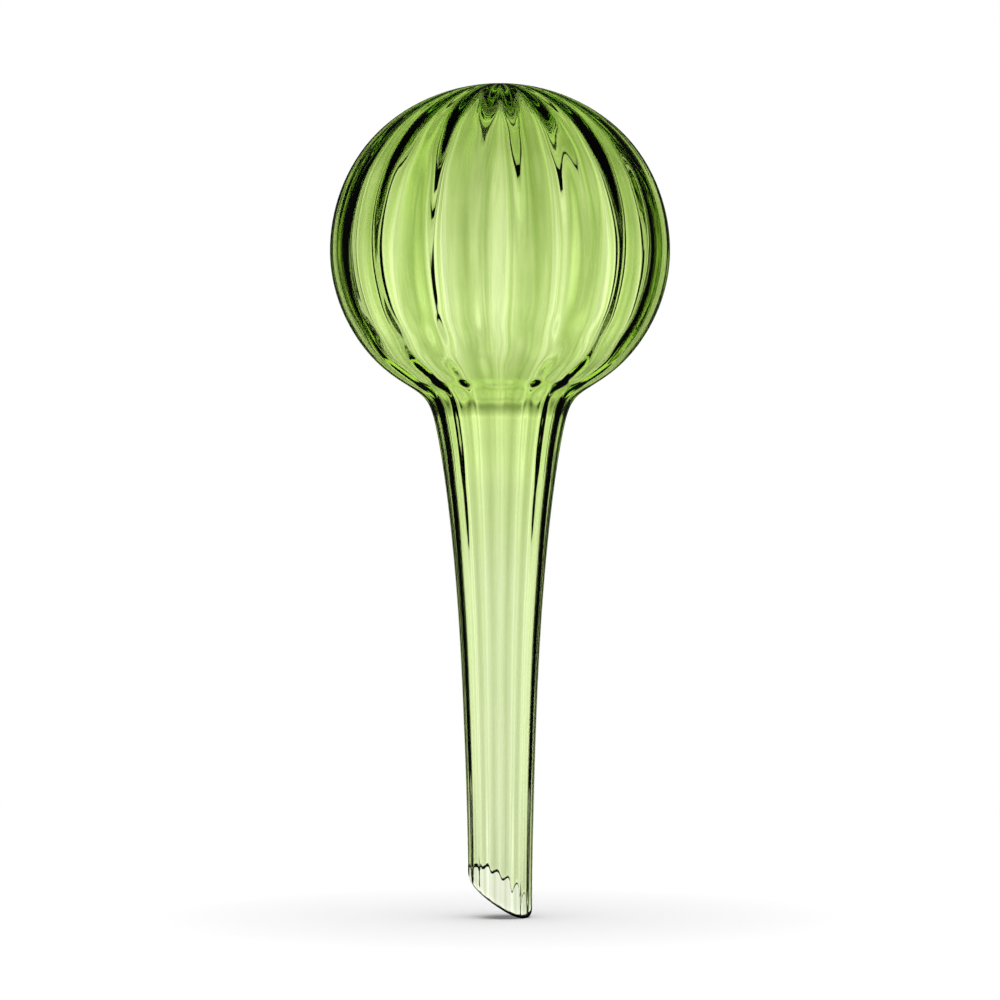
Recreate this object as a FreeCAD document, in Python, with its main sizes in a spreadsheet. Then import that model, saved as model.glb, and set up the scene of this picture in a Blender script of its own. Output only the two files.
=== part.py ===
import FreeCAD, Part
import math
import os

import Sketcher

# Watering globe: one piece of blown glass, a ball that runs through a neck into a long hollow stem.
# The outside is smooth. The inside is ribbed by the mould that the glass was first blown into.
# The stem ends in a slanted, open, fire-polished tip, which is pushed into the soil.
# Frame: +Z up the stem's axis to the ball, origin on that axis, level with the lowest point of the tip.
# The tip's slant falls towards +X, and the part is the same on both sides of the XZ plane.
# Lengths are in millimetres.

doc = FreeCAD.newDocument("watering_globe")


# Driving dimensions

# Each row is a name, a value and what it measures.
SIZES = [
    ("neck_height", "136", "tip's lowest point to the neck, where the ball turns into the stem"),
    ("ball_rise", "40.4", "neck to the middle of the ball"),
    ("crown_rise", "44.3", "middle of the ball to its top"),
    ("ball_diameter", "90", "outside, at the widest"),
    ("neck_diameter", "37", "outside, at the neck"),
    ("tip_diameter", "17", "outside, at the tip"),
    ("crown_wall", "3.6", "mean wall at the top of the ball, where the glass is thickest"),
    ("ball_wall", "2.4", "mean wall from the widest part of the ball to its shoulder"),
    ("neck_wall", "2.8", "mean wall at the neck, where the glass gathers again"),
    ("stem_wall", "1.6", "mean wall halfway down the stem"),
    ("tip_wall", "1.2", "mean wall at the tip"),
    ("ball_relief", "0.9", "rib height inside the ball, from the bottom of a flute to the crest of a rib"),
    ("neck_relief", "0.5", "rib height at the neck"),
    ("stem_relief", "0.2", "rib height halfway down the stem"),
    ("tip_relief", "0.25", "rib height at the tip"),
    ("tip_slant", "38", "angle of the tip's cut to the horizontal, degrees"),
    ("rim_round", "0.5", "fire-polished round on the outer edge of the tip's rim"),
    ("overrun", "3", "how far a cutting shape runs past what it cuts"),
    ("rib_count", "18", "ribs around the inside"),
]

sheet = doc.addObject("Spreadsheet::Sheet", "sizes")
for row, (alias, value, note) in enumerate(SIZES, start=1):
    sheet.set(f"A{row}", alias)
    sheet.set(f"B{row}", value)
    sheet.set(f"C{row}", note)
    sheet.setAlias(f"B{row}", alias)
doc.recompute()


def size(alias):
    return float(sheet.get(alias))


# Outer form: the outline is one smooth curve, set by the control points below and turned about Z

ball_r = "sizes.ball_diameter / 2"
neck_r = "sizes.neck_diameter / 2"
tip_r = "sizes.tip_diameter / 2"
ball_z = "(sizes.neck_height + sizes.ball_rise)"

# The control points stand in four groups, from the top of the ball down.
# Each is a pair of shares: how far it lies from the axis, and how high.
# Crown: shares of the ball's radius, and of the crown's rise above the middle of the ball.
CROWN_SHARES = [(0, 1), (0.3, 1), (0.87, 0.733)]
# Shoulder: shares of the ball's radius, and of the ball's rise above the neck.
SHOULDER_SHARES = [(1.09, 0.877), (0.76, 0.232)]
# Neck: shares of the neck's radius, across and up from the neck.
NECK_SHARES = [(1.085, 0.165), (0.925, -0.165)]
# Stem: shares of how much wider the neck is than the tip, and of the neck's height.
STEM_SHARES = [(0.435, 0.772), (0.095, 0.45), (0, 0.075)]

# Each point of the outline is a pair of expressions: its distance from the axis, and its height.
OUTLINE = []
for across, up in CROWN_SHARES:
    OUTLINE.append((f"{across} * {ball_r}", f"{ball_z} + {up} * sizes.crown_rise"))
for across, up in SHOULDER_SHARES:
    OUTLINE.append((f"{across} * {ball_r}", f"sizes.neck_height + {up} * sizes.ball_rise"))
for across, up in NECK_SHARES:
    OUTLINE.append((f"{across} * {neck_r}", f"sizes.neck_height + {up} * {neck_r}"))
for across, up in STEM_SHARES:
    OUTLINE.append((f"{tip_r} + {across} * ({neck_r} - {tip_r})", f"{up} * sizes.neck_height"))
OUTLINE.append((tip_r, "-sizes.overrun"))

OUTLINE_DEGREE = 3
# How a sketch numbers the points of its lines, its own origin and its vertical axis.
START_INDEX, END_INDEX, CENTRE_INDEX = 1, 2, 3
ORIGIN_INDEXES = (-1, 1)
VERTICAL_INDEX = -2

body = doc.addObject("PartDesign::Body", "blown_form")
body.Label = "blown_form"


def origin_plane(role):
    return next(f for f in body.Origin.OriginFeatures if f.Role == role)


def new_sketch(name, role):
    sketch = body.newObject("Sketcher::SketchObject", name)
    sketch.AttachmentSupport = [(origin_plane(role), "")]
    sketch.MapMode = "FlatFace"
    return sketch


def worked_out(sketch, expression):
    return float(sketch.evalExpression(expression))


def place_point(sketch, geometry, position, across, up):
    """Ties one point of a sketch to its distance across from the axis and its height, both expressions."""
    value = worked_out(sketch, across)
    if value == 0:
        sketch.addConstraint(Sketcher.Constraint("PointOnObject", geometry, position, VERTICAL_INDEX))
    else:
        tie = Sketcher.Constraint("DistanceX", *ORIGIN_INDEXES, geometry, position, value)
        sketch.setExpression(f"Constraints[{sketch.addConstraint(tie)}]", across)
    value = worked_out(sketch, up)
    tie = Sketcher.Constraint("DistanceY", *ORIGIN_INDEXES, geometry, position, value)
    sketch.setExpression(f"Constraints[{sketch.addConstraint(tie)}]", up)


profile = new_sketch("outline", "XZ_Plane")
doc.recompute()
poles = [FreeCAD.Vector(worked_out(profile, across), worked_out(profile, up)) for across, up in OUTLINE]
spans = len(poles) - OUTLINE_DEGREE
knots = list(range(spans + 1))
repeats = [OUTLINE_DEGREE + 1] + [1] * (spans - 1) + [OUTLINE_DEGREE + 1]
curve = Part.BSplineCurve(poles, repeats, knots, False, OUTLINE_DEGREE, [1.0] * len(poles), False)
outline = profile.addGeometry(curve, False)
profile.exposeInternalGeometry(outline)
# The circles that mark the control points follow the curve in the sketch's list.
for pole, (across, up) in enumerate(OUTLINE, start=1):
    place_point(profile, outline + pole, CENTRE_INDEX, across, up)
foot = FreeCAD.Vector(0, poles[-1].y)
foot_line = profile.addGeometry(Part.LineSegment(poles[-1], foot), False)
axis_line = profile.addGeometry(Part.LineSegment(foot, poles[0]), False)
profile.addConstraint(Sketcher.Constraint("Coincident", outline, END_INDEX, foot_line, START_INDEX))
profile.addConstraint(Sketcher.Constraint("Coincident", foot_line, END_INDEX, axis_line, START_INDEX))
profile.addConstraint(Sketcher.Constraint("Coincident", axis_line, END_INDEX, outline, START_INDEX))
profile.addConstraint(Sketcher.Constraint("Horizontal", foot_line))
profile.addConstraint(Sketcher.Constraint("Vertical", axis_line))

turned = body.newObject("PartDesign::Revolution", "turned_form")
turned.Profile = profile
turned.ReferenceAxis = (profile, ["V_Axis"])
turned.Angle = 360
doc.recompute()


# Slanted tip: everything under a slanted plane is cut off.
# The plane meets the stem's side a little under the origin, by what the round on the rim takes off there,
# so that the rounded tip's lowest point is level with the origin.

rise = "tan(sizes.tip_slant * 1 deg)"
lip = f"sizes.rim_round * ({rise} + 1 / cos(sizes.tip_slant * 1 deg) - 1)"
reach = f"({tip_r} + sizes.overrun)"
under = f"-2 * sizes.overrun - sizes.overrun * {rise} - {lip}"
SLANT = [
    (reach, f"-sizes.overrun * {rise} - {lip}"),
    (f"-{reach}", f"({tip_r} + {reach}) * {rise} - {lip}"),
    (f"-{reach}", under),
    (reach, under),
]

slant = new_sketch("slant", "XZ_Plane")
doc.recompute()
corners = [FreeCAD.Vector(worked_out(slant, across), worked_out(slant, up)) for across, up in SLANT]
for number, corner in enumerate(corners):
    slant.addGeometry(Part.LineSegment(corner, corners[(number + 1) % len(corners)]), False)
for number, (across, up) in enumerate(SLANT):
    before = (number - 1) % len(SLANT)
    slant.addConstraint(Sketcher.Constraint("Coincident", before, END_INDEX, number, START_INDEX))
    place_point(slant, number, START_INDEX, across, up)

whole_volume = turned.Shape.Volume
slant_cut = body.newObject("PartDesign::Pocket", "slant_cut")
slant_cut.Profile = slant
slant_cut.Midplane = True
slant_cut.setExpression("Length", f"2 * {reach}")
doc.recompute()
if not slant_cut.Shape.Volume < whole_volume:
    raise ValueError("the slanted cut takes nothing off the stem")


# Lumen: the hollow, lofted through rings that follow the outline, one wall thickness inside it

# Each row is a share of the way down the outline, and the wall and rib height there.
WALL_SHARES = [
    (0.0, "crown_wall", "ball_relief"),
    (0.28, "ball_wall", "ball_relief"),
    (0.38, "ball_wall", "ball_relief"),
    (0.48, "neck_wall", "neck_relief"),
    (0.56, "neck_wall", "neck_relief"),
    (0.8, "stem_wall", "stem_relief"),
    (1.0, "tip_wall", "tip_relief"),
]
RING_COUNT = 28
POINTS_PER_RIB = 4
# Near the pole the ribs run together, so there they are no higher than this share of the ring's radius.
RELIEF_LIMIT_SHARE = 0.12


def along_walls(share, column):
    """The wall or rib height at a share of the way down the outline, on straight runs between the rows."""
    for above, below in zip(WALL_SHARES, WALL_SHARES[1:]):
        if share <= below[0]:
            blend = (share - above[0]) / (below[0] - above[0])
            return (1 - blend) * size(above[column]) + blend * size(below[column])
    return size(WALL_SHARES[-1][column])


side = next(e for e in profile.Shape.Edges if isinstance(e.Curve, Part.BSplineCurve))


def inner_point(share):
    """The middle of the inner surface, level with a share of the way down the outline."""
    at = side.FirstParameter + share * (side.LastParameter - side.FirstParameter)
    point = side.valueAt(at)
    along = side.tangentAt(at)
    inward = FreeCAD.Vector(along.z, 0, -along.x)
    return point + inward * along_walls(share, 1)


def ring(share):
    """One closed, ribbed ring of the lumen. A crest stands on the XZ plane, on the side towards +X."""
    middle = inner_point(share)
    relief = min(along_walls(share, 2), RELIEF_LIMIT_SHARE * middle.x)
    ribs = round(size("rib_count"))
    count = ribs * POINTS_PER_RIB
    points = []
    for number in range(count):
        turn = 2 * math.pi * number / count
        radius = middle.x - relief / 2 * math.cos(ribs * turn)
        points.append(FreeCAD.Vector(radius * math.cos(turn), radius * math.sin(turn), middle.z))
    loop = Part.BSplineCurve()
    loop.interpolate(Points=points, PeriodicFlag=True)
    return Part.Wire([loop.toShape()])


inner_top = worked_out(profile, f"{ball_z} + sizes.crown_rise - sizes.crown_wall")
inner_pole = FreeCAD.Vector(0, 0, inner_top)
rings = [ring(number / RING_COUNT) for number in range(1, RING_COUNT + 1)]
mouth = ring(1)
mouth.translate(FreeCAD.Vector(0, 0, -size("overrun")))
lumen = doc.addObject("Part::Feature", "lumen")
lumen.Label = "lumen"
lumen.Shape = Part.makeLoft([Part.Vertex(inner_pole)] + rings + [mouth], True, False)

hollow = doc.addObject("Part::Cut", "hollow_form")
hollow.Base = body
hollow.Tool = lumen
doc.recompute()


# Fire-polished rim: the outer edge of the slanted ring is rounded

# A point is on the cut's plane if it is nearer to it than this share of the rim's round.
ON_PLANE_SHARE = 0.01


def on_slant(edge):
    """True for an edge that lies all along the plane of the tip's cut."""
    slope = math.tan(math.radians(size("tip_slant")))
    for at in (edge.FirstParameter, (edge.FirstParameter + edge.LastParameter) / 2, edge.LastParameter):
        point = edge.valueAt(at)
        off = point.z + worked_out(slant, lip) - (size("tip_diameter") / 2 - point.x) * slope
        if abs(off) > ON_PLANE_SHARE * size("rim_round"):
            return False
    return True


edges = hollow.Shape.Edges
on_rim = [number for number, edge in enumerate(edges, start=1) if on_slant(edge)]
rim = max(on_rim, key=lambda number: edges[number - 1].Length)
globe = doc.addObject("Part::Fillet", "glass_globe")
globe.Label = "glass_globe"
globe.Base = hollow
globe.Edges = [(rim, size("rim_round"), size("rim_round"))]
doc.recompute()


# Every object is checked before anything is written

for thing in doc.Objects:
    if "Invalid" in thing.State or "Error" in thing.State:
        raise ValueError(f"{thing.Label} did not work out: {thing.State}")
if globe.Shape.isNull() or not globe.Shape.isValid() or len(globe.Shape.Solids) != 1:
    raise ValueError("glass_globe is not one valid solid")

os.makedirs("parts", exist_ok=True)
globe.Shape.exportStep(f"parts/{globe.Label}.step")
print(globe.Label, "volume", round(globe.Shape.Volume), "box", globe.Shape.BoundBox)
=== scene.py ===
import math

import bpy
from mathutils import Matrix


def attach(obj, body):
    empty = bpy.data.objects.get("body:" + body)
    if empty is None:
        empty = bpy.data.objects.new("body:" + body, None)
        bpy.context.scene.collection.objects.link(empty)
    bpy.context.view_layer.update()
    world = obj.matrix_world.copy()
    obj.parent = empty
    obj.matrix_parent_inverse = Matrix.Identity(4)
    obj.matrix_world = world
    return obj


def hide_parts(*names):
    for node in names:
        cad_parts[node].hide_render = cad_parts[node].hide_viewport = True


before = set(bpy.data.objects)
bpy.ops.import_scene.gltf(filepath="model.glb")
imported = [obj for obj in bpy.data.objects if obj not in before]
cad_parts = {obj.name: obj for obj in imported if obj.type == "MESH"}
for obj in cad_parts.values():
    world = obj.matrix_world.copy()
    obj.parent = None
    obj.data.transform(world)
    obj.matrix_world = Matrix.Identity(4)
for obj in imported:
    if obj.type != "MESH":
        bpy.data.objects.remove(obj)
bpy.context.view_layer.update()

# Glass globe: a gather of yellow-green glass is blown into a ribbed mould, so that it is smooth
# outside and ribbed inside. The ball is blown out of it, the rest is drawn down to a long hollow
# stem, and the stem's open tip is cut at a slant and melted smooth. It is all one piece.
MM = 0.001
MIDDLE = (0, 0, 0)
UPWARDS = (0, 0, 1)
BALL_RADIUS = 45
TIP_RADIUS = 8.5
WELD = 0.001

# Control points of the outside, from the top of the ball to the tip: how far each lies from the
# axis, and how high, in millimetres. The curve that they pull is as wide as the ball at its belt.
OUTLINE = [
    (0, 220.7),
    (13.5, 220.7),
    (39.15, 208.87),
    (49.05, 171.43),
    (34.2, 145.37),
    (20.07, 139.05),
    (17.11, 132.95),
    (12.85, 104.99),
    (9.45, 61.2),
    (TIP_RADIUS, 10.2),
    (TIP_RADIUS, 0),
]
OUTLINE_ORDER = 4
OUTLINE_STEPS = 13
RIBS = 18
STEPS_PER_RIB = 18

# The outline is drawn as one smooth curve and spun round the axis.
bpy.ops.object.select_all(action="DESELECT")
bpy.ops.curve.primitive_nurbs_path_add(location=MIDDLE)
globe = bpy.context.object
spline = globe.data.splines[0]
spline.points.add(len(OUTLINE) - len(spline.points))
for point, (across, height) in zip(spline.points, OUTLINE):
    point.co = (across * MM, 0, height * MM, 1)
spline.order_u = OUTLINE_ORDER
spline.use_endpoint_u = True
spline.resolution_u = OUTLINE_STEPS
bpy.ops.object.convert(target="MESH")
globe = bpy.context.object
globe.name = "blown_glass"
globe.data.name = "blown_glass"
bpy.ops.object.mode_set(mode="EDIT")
bpy.ops.mesh.select_all(action="SELECT")
bpy.ops.mesh.spin(steps=RIBS * STEPS_PER_RIB, angle=math.tau, center=MIDDLE, axis=UPWARDS)
bpy.ops.mesh.select_all(action="SELECT")
bpy.ops.mesh.remove_doubles(threshold=WELD * MM)
bpy.ops.mesh.normals_make_consistent(inside=False)
bpy.ops.object.mode_set(mode="OBJECT")

# Height, mean wall there, and how far the ribs stand up, all in millimetres.
WALLS = [
    (220.7, 3.6, 0.45),
    (207, 3.3, 0.65),
    (196, 2.8, 0.72),
    (176, 2.45, 0.55),
    (157, 2.3, 0.5),
    (147, 2.35, 0.36),
    (141, 2.6, 0.25),
    (137, 3.3, 0.2),
    (132, 2.6, 0.22),
    (126, 2.5, 0.2),
    (113, 2.1, 0.13),
    (87, 1.6, 0.08),
    (40, 1.4, 0.08),
    (15, 1.3, 0.12),
    (0, 1.2, 0.2),
]
# The columns of that table.
MEAN_WALL = 1
RIB_HEIGHT = 2

# Near the pole, where the ribs run together, they are no higher than this share of the radius.
RIB_LIMIT_SHARE = 0.07
# Each third rib is bolder than the rest, and all of them are a little uneven round the ball.
BOLD_RIBS = 6
BOLD_START = math.radians(120)
BOLD_SHARE = 0.34
UNEVEN_ROUNDS = 5
UNEVEN_START = -1.1
UNEVEN_SHARE = 0.08
# Just above the neck, where the ball was drawn in, the ribs waver sideways.
FOLD_HEIGHT = 150
FOLD_REACH = 9
FOLD_SWING = 0.4
FOLD_PITCH = 0.5
FOLD_ROUNDS = 2
# Finer, uneven ripples between the ribs: how many go round, how high each is as a share of the
# ribs' height, where it starts, and how it wanders with height. They fade out in the narrow stem.
RIPPLES = [
    (7, 0.10, 0.4, 0.011),
    (11, 0.08, 2.1, -0.017),
    (29, 0.1, 1.3, 0.023),
    (43, 0.035, 4.4, -0.031),
]
RIPPLE_SHARE = 1.8
RIPPLE_RADIUS = 40
RIPPLE_FADE = 3


def along_walls(height, column):
    """The wall or the rib height at a height in millimetres, eased from one row to the next."""
    if height >= WALLS[0][0]:
        return WALLS[0][column]
    for above, below in zip(WALLS, WALLS[1:]):
        if height >= below[0]:
            share = (above[0] - height) / (above[0] - below[0])
            eased = share * share * (3 - 2 * share)
            return above[column] + (below[column] - above[column]) * eased
    return WALLS[-1][column]


def wall(at):
    """How far the inside lies out from the outside at a place: one wall inwards."""
    return -along_walls(at.z, MEAN_WALL)


def rib(at):
    """How far the inside is off its mean at a place: outwards in a flute, inwards on a crest."""
    turn = math.atan2(at.y, at.x)
    radius = math.hypot(at.x, at.y)
    bold = BOLD_SHARE * math.cos(BOLD_RIBS * turn + BOLD_START)
    uneven = 1 + bold + UNEVEN_SHARE * math.sin(UNEVEN_ROUNDS * turn + UNEVEN_START)
    height = min(along_walls(at.z, RIB_HEIGHT), RIB_LIMIT_SHARE * radius) * uneven
    ripple = sum(
        high * math.sin(number * turn + start + drift * at.z)
        for number, high, start, drift in RIPPLES
    )
    spread = RIPPLE_SHARE * min(1, radius / RIPPLE_RADIUS) ** RIPPLE_FADE
    nearness = math.exp(-(((at.z - FOLD_HEIGHT) / FOLD_REACH) ** 2))
    fold = FOLD_SWING * nearness * math.sin(FOLD_PITCH * at.z + FOLD_ROUNDS * turn)
    return height * (spread * ripple - math.cos(RIBS * turn + fold) / 2)


def press(piece, name, direction, amount):
    """Moves each point of a piece by an amount in millimetres that depends on its place.

    The amounts go into a weight group, and two Displace modifiers turn it into movement.
    """
    amounts = [amount(vertex.co / MM) for vertex in piece.data.vertices]
    low, high = min(amounts), max(amounts)
    group = piece.vertex_groups.new(name=name)
    for vertex, moved in zip(piece.data.vertices, amounts):
        group.add([vertex.index], (moved - low) / (high - low), "REPLACE")
    for part, strength, weighed in (("weighed", high - low, True), ("even", low, False)):
        modifier = piece.modifiers.new(f"{name}_{part}", "DISPLACE")
        modifier.direction = direction
        modifier.mid_level = 0
        modifier.strength = strength * MM
        if weighed:
            modifier.vertex_group = name
        bpy.ops.object.modifier_apply(modifier=modifier.name)
    piece.vertex_groups.remove(piece.vertex_groups[name])


# A copy of the outside is drawn in by the wall, ribbed and turned over, and becomes the inside.
bpy.ops.object.duplicate()
inside = bpy.context.object
press(inside, "wall", "NORMAL", wall)
press(inside, "ribs", "NORMAL", rib)
bpy.ops.object.mode_set(mode="EDIT")
bpy.ops.mesh.select_all(action="SELECT")
bpy.ops.mesh.flip_normals()
bpy.ops.object.mode_set(mode="OBJECT")
bpy.ops.object.select_all(action="DESELECT")
inside.select_set(True)
globe.select_set(True)
bpy.context.view_layer.objects.active = globe
bpy.ops.object.join()

# The slant falls towards +X. Melting has rounded its rim and left it a little wavy. The cut is
# dropped by what the rounding takes off the tip, so that the tip still ends level with the origin.
TIP_SLANT = math.radians(38)
SLANT_REACH = 50
RIM_ROUND = 0.42
RIM_ROUND_STEPS = 4
RIM_WAVES = 3
RIM_WAVE = 0.25
RIM_DROP = 0.17
# A point is on the rim if it is this close to the cut and within this reach of the axis, and an
# edge there that goes in or out by more than half a wall runs across the wall.
RIM_CLOSE = 0.01
RIM_REACH = 9
HALF_WALL = 0.5


def cut_height(at):
    """How high the cut is at a place."""
    wave = RIM_WAVE * (1 - math.cos(RIM_WAVES * math.atan2(at.y, at.x)))
    return (TIP_RADIUS - at.x) * math.tan(TIP_SLANT) + wave - RIM_DROP


def slant(at):
    """How far a place moves up when the foot is drawn to the cut: all of it at the foot."""
    return cut_height(at) * max(0, 1 - at.z / SLANT_REACH)


def on_rim(at):
    """Whether a place lies in the cut."""
    return abs(at.z - cut_height(at)) < RIM_CLOSE and math.hypot(at.x, at.y) < RIM_REACH


def pick(piece, wanted):
    """Selects the vertices of a piece, in edit mode, by a test of their place in millimetres."""
    bpy.ops.object.mode_set(mode="EDIT")
    bpy.ops.mesh.select_mode(type="VERT")
    bpy.ops.mesh.select_all(action="DESELECT")
    bpy.ops.object.mode_set(mode="OBJECT")
    for vertex in piece.data.vertices:
        vertex.select = wanted(vertex.co / MM)
    bpy.ops.object.mode_set(mode="EDIT")


# The foot is drawn to the slant, the two walls are joined there, and both edges are rounded.
press(globe, "slant", "Z", slant)
pick(globe, on_rim)
bpy.ops.mesh.select_mode(type="EDGE")
bpy.ops.mesh.bridge_edge_loops()
bpy.ops.object.mode_set(mode="OBJECT")
pick(globe, on_rim)
bpy.ops.mesh.select_mode(type="EDGE")
bpy.ops.object.mode_set(mode="OBJECT")
for edge in globe.data.edges:
    ends = [globe.data.vertices[number].co for number in edge.vertices]
    across_wall = abs(math.hypot(*ends[0].xy) - math.hypot(*ends[1].xy)) > HALF_WALL * MM
    edge.select = all(on_rim(end / MM) for end in ends) and not across_wall
bpy.ops.object.mode_set(mode="EDIT")
bpy.ops.mesh.bevel(offset=RIM_ROUND * MM, segments=RIM_ROUND_STEPS, affect="EDGES")
bpy.ops.object.mode_set(mode="OBJECT")
bpy.ops.object.shade_smooth()

# Clear glass, a little green at its surface, which takes its depth of colour from how much of it
# the light passes through. Blowing leaves fine upright cords of thicker glass in it.
GLASS_IOR = 1.5
DEPTH_COLOUR = (0.69, 0.9, 0.05, 1)
DEPTH_DENSITY = 215
TINT = (0.7, 0.76, 0.58, 1)
NO_TINT = (1, 1, 1, 1)
TINT_FROM, TINT_FULL = 0.35, 0.75
RIB_TINT = 0.16
CORD_SCALE = 18
CORD_DETAIL = 2
CORD_DRIFT = (0, 0, 1.2)
CORD_HEIGHT = 0.0008
CORD_STRENGTH = 0.25
THREAD_DETAIL = 5
THREAD_ROUGHNESS = 0.62
SMEAR_SCALE = 45
SMEAR_DETAIL = 4
SMEAR_FROM, SMEAR_FULL = 0.45, 0.8
SMEAR_ROUGHNESS = 0.006


def feed(tree, node, inputs):
    """Gives each named or numbered input of a node a value, or another node's output."""
    for name, value in inputs.items():
        if isinstance(value, bpy.types.NodeSocket):
            tree.links.new(value, node.inputs[name])
        else:
            node.inputs[name].default_value = value


def add_node(tree, kind, inputs=None, **settings):
    """Adds a shader node to a tree, with its settings and what goes into it."""
    node = tree.nodes.new("ShaderNode" + kind)
    for name, value in settings.items():
        setattr(node, name, value)
    feed(tree, node, inputs or {})
    return node


def work_out(tree, operation, *terms):
    """Adds a Math node, whose terms are numbers or outputs, and gives its result."""
    return add_node(tree, "Math", dict(enumerate(terms)), operation=operation).outputs["Value"]


glass = bpy.data.materials.new("green_glass")
glass.use_nodes = True
tree = glass.node_tree
body = tree.nodes["Principled BSDF"]
body.inputs["IOR"].default_value = GLASS_IOR
body.inputs["Transmission Weight"].default_value = 1

# The cords run up and down, so the noise behind them is stretched along the height and goes round
# with the ribs. They are lower where the glass is drawn narrow.
place = add_node(tree, "TexCoord").outputs["Object"]
axes = add_node(tree, "SeparateXYZ", {"Vector": place}).outputs
level = add_node(tree, "CombineXYZ", {"X": axes["X"], "Y": axes["Y"]}).outputs["Vector"]
radius = add_node(tree, "VectorMath", {0: level}, operation="LENGTH").outputs["Value"]
around = add_node(tree, "VectorMath", {0: level}, operation="NORMALIZE").outputs["Vector"]
drift = add_node(tree, "VectorMath", {0: place, 1: CORD_DRIFT}, operation="MULTIPLY")
cord_place = add_node(
    tree, "VectorMath", {0: around, 1: drift.outputs["Vector"]}, operation="ADD"
).outputs["Vector"]
cords = add_node(tree, "TexNoise", {
    "Vector": cord_place,
    "Scale": CORD_SCALE,
    "Detail": CORD_DETAIL,
}).outputs["Fac"]
swell = add_node(tree, "Bump", {
    "Height": work_out(tree, "MULTIPLY", cords, radius),
    "Strength": CORD_STRENGTH,
    "Distance": CORD_HEIGHT,
}).outputs["Normal"]

# The melt is a shade greener in some threads than in others and along the ribs, less so where it
# is drawn narrow, and handling has left the surface faintly smeared.
threads = add_node(tree, "TexNoise", {
    "Vector": cord_place,
    "Scale": CORD_SCALE,
    "Detail": THREAD_DETAIL,
    "Roughness": THREAD_ROUGHNESS,
}).outputs["Fac"]
turn = work_out(tree, "ARCTAN2", axes["Y"], axes["X"])
crest = work_out(tree, "COSINE", work_out(tree, "MULTIPLY", turn, RIBS))
greener = add_node(tree, "MapRange", {
    "Value": work_out(tree, "MULTIPLY_ADD", crest, RIB_TINT, threads),
    "From Min": TINT_FROM,
    "From Max": TINT_FULL,
}).outputs["Result"]
drawn = work_out(tree, "SQRT", work_out(tree, "DIVIDE", radius, BALL_RADIUS * MM))
tint = add_node(tree, "Mix", {
    "Factor": work_out(tree, "MULTIPLY", greener, drawn),
    6: NO_TINT,
    7: TINT,
}, data_type="RGBA").outputs[2]
smears = add_node(tree, "TexNoise", {
    "Vector": place,
    "Scale": SMEAR_SCALE,
    "Detail": SMEAR_DETAIL,
}).outputs["Fac"]
polish = add_node(tree, "MapRange", {
    "Value": smears,
    "From Min": SMEAR_FROM,
    "From Max": SMEAR_FULL,
    "To Min": 0,
    "To Max": SMEAR_ROUGHNESS,
}).outputs["Result"]
feed(tree, body, {"Base Color": tint, "Roughness": polish, "Normal": swell})
depth = add_node(tree, "VolumeAbsorption", {"Color": DEPTH_COLOUR, "Density": DEPTH_DENSITY})
feed(tree, tree.nodes["Material Output"], {"Volume": depth.outputs["Volume"]})

globe.data.materials.append(glass)
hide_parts("glass_globe")
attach(globe, "root")

# Camera: it stands level with the middle of the glass, square on to it, with the slant's low side
# to the right and a little towards it.
FIELD = 0.265
CAMERA_DISTANCE = 1.2
CAMERA_TURN = math.radians(40)
CAMERA_SENSOR = 36
CAMERA_REACH = 20
AIM_HEIGHT = 0.1104
bpy.ops.object.select_all(action="DESELECT")
bpy.ops.object.camera_add(
    location=(
        CAMERA_DISTANCE * math.sin(CAMERA_TURN),
        -CAMERA_DISTANCE * math.cos(CAMERA_TURN),
        AIM_HEIGHT,
    ),
    rotation=(math.radians(90), 0, CAMERA_TURN),
)
camera = bpy.context.object
camera.name = "camera"
camera.data.sensor_width = CAMERA_SENSOR
camera.data.lens = CAMERA_SENSOR * CAMERA_DISTANCE / FIELD
camera.data.clip_end = CAMERA_REACH
bpy.context.scene.camera = camera

# Bright card behind the glass, white in the middle and dark towards its edges, as for
# photographing glass: it is what makes the ribs and the outline dark. Only the glass shows it, and
# it stays square behind the glass wherever the camera goes.
CARD_SIZE = 3
CARD_BEHIND = 0.5
CARD_DROP = 0.15
# How bright the card is at a distance from its middle in metres, across and up.
CARD_LEVELS = {
    "X": [(0, 0.98), (0.04, 1.16), (0.09, 1.36), (0.148, 1), (0.152, 0)],
    "Y": [
        (0, 0.88), (0.022, 0.97), (0.05, 1.03), (0.105, 1.04), (0.156, 1), (0.182, 1.06),
        (0.217, 1.18), (0.244, 1.07), (0.3, 0.86), (0.45, 0.5), (0.6, 0),
    ],
}
CARD_REACH = 0.7
# The bright middle widens downwards, to this many times its width, from one height to the other.
CARD_FOOT_TOP, CARD_FOOT_BOTTOM = 0.17, 0.02
CARD_FOOT_WIDTH = 1.7
bpy.ops.object.select_all(action="DESELECT")
bpy.ops.mesh.primitive_plane_add(size=CARD_SIZE, location=MIDDLE)
card = bpy.context.object
card.name = "bright_card"
card.parent = camera
card.location = (0, -CARD_DROP, -CAMERA_DISTANCE - CARD_BEHIND)
card.visible_camera = False
card.visible_diffuse = False
card.visible_glossy = False
card.visible_shadow = False
glow = bpy.data.materials.new("bright_card")
glow.use_nodes = True
tree = glow.node_tree
tree.nodes.clear()
place = add_node(tree, "TexCoord").outputs["Object"]
axes = add_node(tree, "SeparateXYZ", {"Vector": place}).outputs
foot_reach = add_node(tree, "MapRange", {
    "Value": axes["Y"],
    "From Min": CARD_FOOT_BOTTOM,
    "From Max": CARD_FOOT_TOP,
    "To Min": CARD_REACH * CARD_FOOT_WIDTH,
    "To Max": CARD_REACH,
}).outputs["Result"]
levels = []
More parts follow.
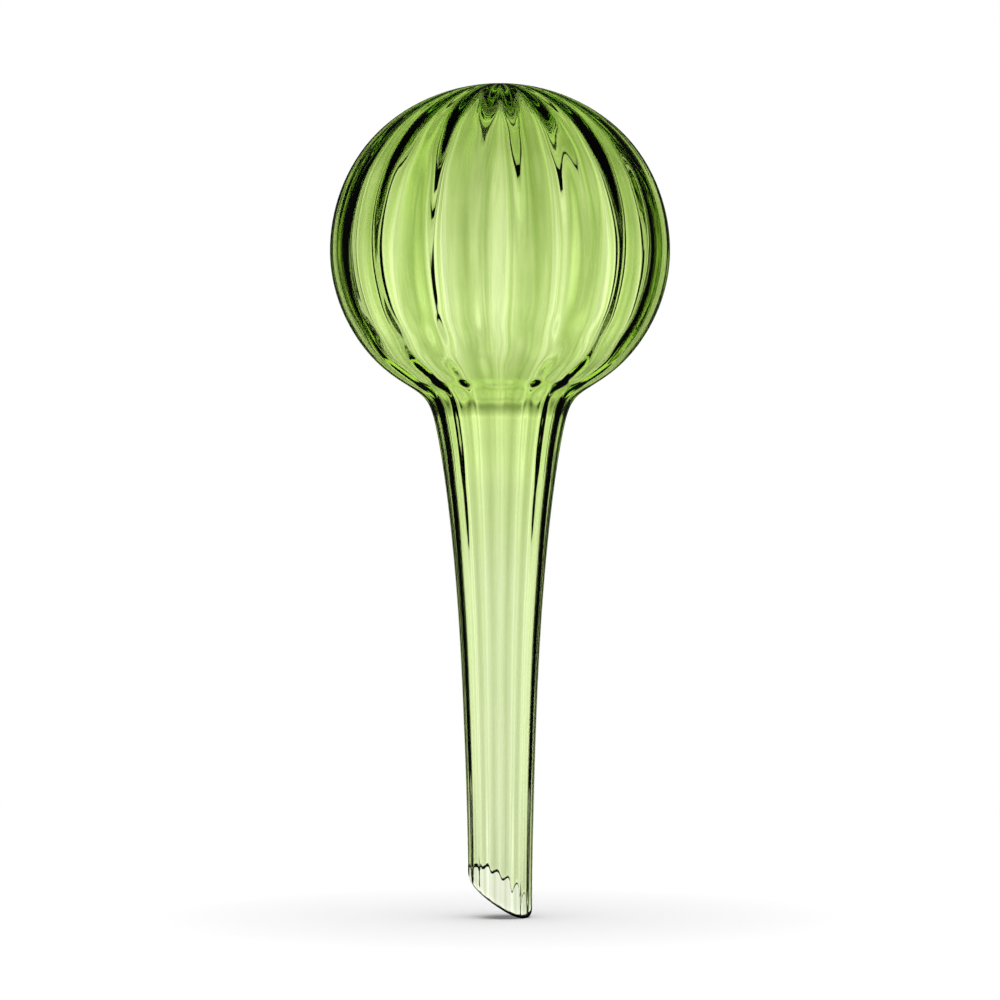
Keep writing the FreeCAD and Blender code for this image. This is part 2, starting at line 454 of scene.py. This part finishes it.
for axis, reach in (("X", foot_reach), ("Y", CARD_REACH)):
    off = work_out(tree, "ABSOLUTE", axes[axis])
    ramp = add_node(tree, "ValToRGB", {"Fac": work_out(tree, "DIVIDE", off, reach)})
    elements = ramp.color_ramp.elements
    elements.remove(elements[1])
    (start, start_bright), *stops = CARD_LEVELS[axis]
    elements[0].position = start / CARD_REACH
    elements[0].color = (start_bright, start_bright, start_bright, 1)
    for distance, bright in stops:
        elements.new(distance / CARD_REACH).color = (bright, bright, bright, 1)
    levels.append(ramp.outputs["Color"])
shine = add_node(tree, "Emission", {"Strength": work_out(tree, "MULTIPLY", *levels)})
add_node(tree, "OutputMaterial", {"Surface": shine.outputs["Emission"]})
card.data.materials.append(glow)

# Floor: a plain pale sheet that takes the glass's shadow. It is lifted to white for the camera
# where nothing shades it, and further out it runs into the white behind it.
FLOOR_RADIUS = 6
FLOOR_SIDES = 96
FLOOR_COLOUR = 0.82
FLOOR_FADE_FROM, FLOOR_FADE_TO = 0.12, 0.5
bpy.ops.object.select_all(action="DESELECT")
bpy.ops.mesh.primitive_circle_add(
    vertices=FLOOR_SIDES, radius=FLOOR_RADIUS, fill_type="NGON", location=MIDDLE
)
floor = bpy.context.object
floor.name = "floor"
floor.visible_transmission = False
floor.visible_glossy = False
sheet = bpy.data.materials.new("pale_floor")
sheet.use_nodes = True
tree = sheet.node_tree
tree.nodes.clear()
seen = add_node(tree, "LightPath").outputs["Is Camera Ray"]
place = add_node(tree, "TexCoord").outputs["Object"]
far = add_node(tree, "MapRange", {
    "Value": add_node(tree, "VectorMath", {0: place}, operation="LENGTH").outputs["Value"],
    "From Min": FLOOR_FADE_FROM,
    "From Max": FLOOR_FADE_TO,
}, interpolation_type="SMOOTHSTEP").outputs["Result"]
pale = add_node(tree, "BsdfDiffuse", {"Color": (FLOOR_COLOUR, FLOOR_COLOUR, FLOOR_COLOUR, 1)})
lift = add_node(tree, "Emission", {"Strength": work_out(tree, "MULTIPLY", seen, 1 - FLOOR_COLOUR)})
near = add_node(tree, "AddShader", {0: pale.outputs["BSDF"], 1: lift.outputs["Emission"]})
white = add_node(tree, "Emission", {"Strength": seen})
whole = add_node(tree, "MixShader", {
    "Fac": far,
    1: near.outputs["Shader"],
    2: white.outputs["Emission"],
})
add_node(tree, "OutputMaterial", {"Surface": whole.outputs["Shader"]})
floor.data.materials.append(sheet)

# Lamp: one large round soft light hangs above the glass and casts its shadow. The glass doesn't
# mirror it or show it.
LAMP_HEIGHT = 1.6
LAMP_WIDTH = 2
LAMP_WATTS = 40
bpy.ops.object.select_all(action="DESELECT")
bpy.ops.object.light_add(type="AREA", location=(0, 0, LAMP_HEIGHT))
lamp = bpy.context.object
lamp.name = "soft_lamp"
lamp.data.shape = "DISK"
lamp.data.size = LAMP_WIDTH
lamp.data.energy = LAMP_WATTS
lamp.visible_glossy = False
lamp.visible_transmission = False

# World: the studio is white where the camera sees it, and nearly dark to all else, so that the
# card alone lights the glass from behind.
DARK_LEVEL = 0.02
WHITE_LEVEL = 1
world = bpy.data.worlds.new("white")
bpy.context.scene.world = world
world.use_nodes = True
tree = world.node_tree
back = add_node(tree, "MapRange", {
    "Value": add_node(tree, "LightPath").outputs["Is Camera Ray"],
    "To Min": DARK_LEVEL,
    "To Max": WHITE_LEVEL,
})
feed(tree, tree.nodes["Background"], {
    "Color": (1, 1, 1, 1),
    "Strength": back.outputs["Result"],
})

bpy.context.scene.view_settings.view_transform = "Standard"
